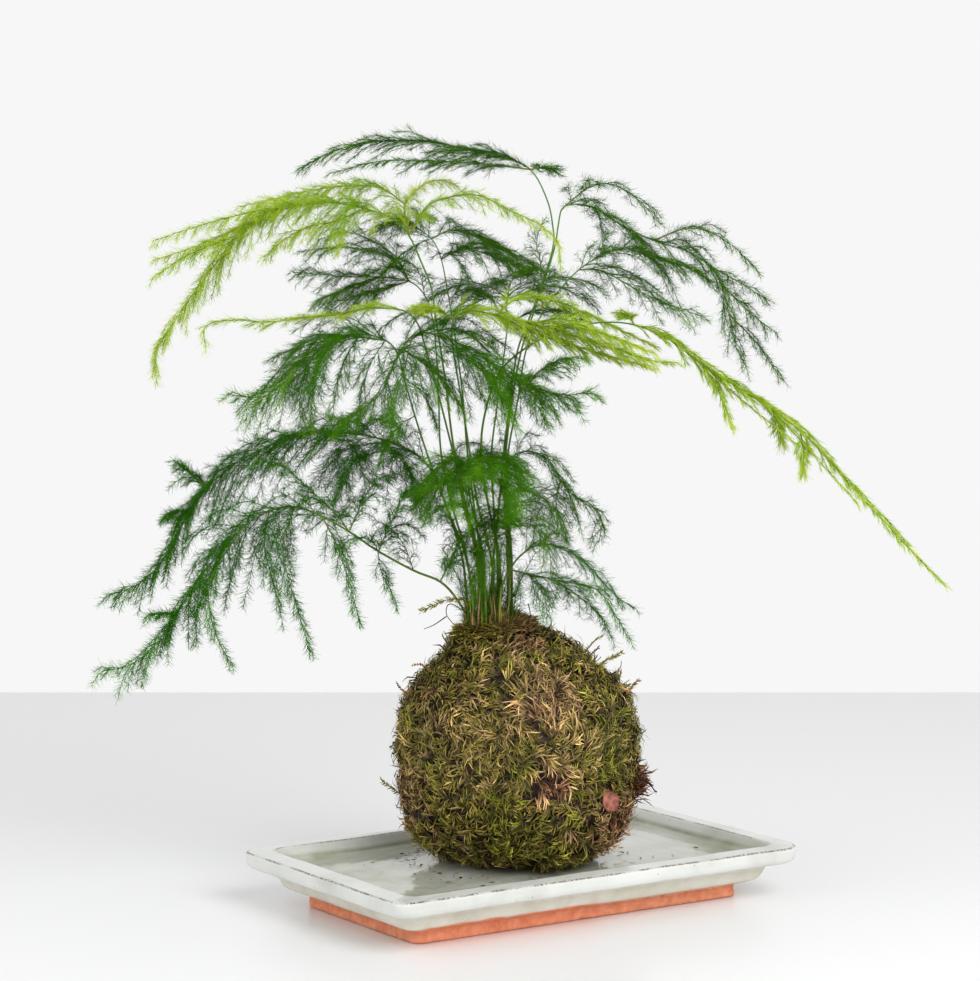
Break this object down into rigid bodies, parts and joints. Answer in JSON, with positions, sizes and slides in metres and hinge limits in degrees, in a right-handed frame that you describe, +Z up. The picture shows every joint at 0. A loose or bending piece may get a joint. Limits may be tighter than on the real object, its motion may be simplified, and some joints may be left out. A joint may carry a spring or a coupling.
{
  "type": "moss ball plant",
  "caption": "Asparagus fern with arching needle fronds, growing from a moss-wrapped ball of soil that sits on a low rectangular glazed clay tray with a wide lip and a bare clay foot.",
  "frame": {"origin": "middle of the tray's flat foot, on the surface that the tray stands on", "axes": "+X along the tray's long side, towards the side that the longest drooping frond leans to, +Y along its short side, away from the viewer's side, +Z up"},
  "size_m": [0.3432, 0.305, 0.3788],
  "materials": {
    "tray_glaze": "glossy off-white glaze, bare orange clay under the edge",
    "moss": "rough, fibrous",
    "soil": "rough, damp",
    "frond_dark": "matte",
    "frond_mid": "matte",
    "frond_light": "matte"
  },
  "bodies": {
    "root": {"tray": "tray_glaze", "moss_wrap": "moss", "soil_ball": "soil", "frond_crest": "frond_dark", "frond_dark_right_upper": "frond_dark", "frond_dark_right": "frond_dark", "frond_back_right": "frond_dark", "frond_back": "frond_dark", "frond_back_left": "frond_dark", "frond_light_left": "frond_light", "frond_light_low_left": "frond_light", "frond_light_low_right": "frond_light", "frond_long_right": "frond_light", "frond_mid": "frond_mid", "frond_low_left_upper": "frond_dark", "frond_low_left": "frond_dark", "frond_front": "frond_mid", "frond_low_right_upper": "frond_dark", "frond_low_right": "frond_mid"}
  },
  "joints": []
}
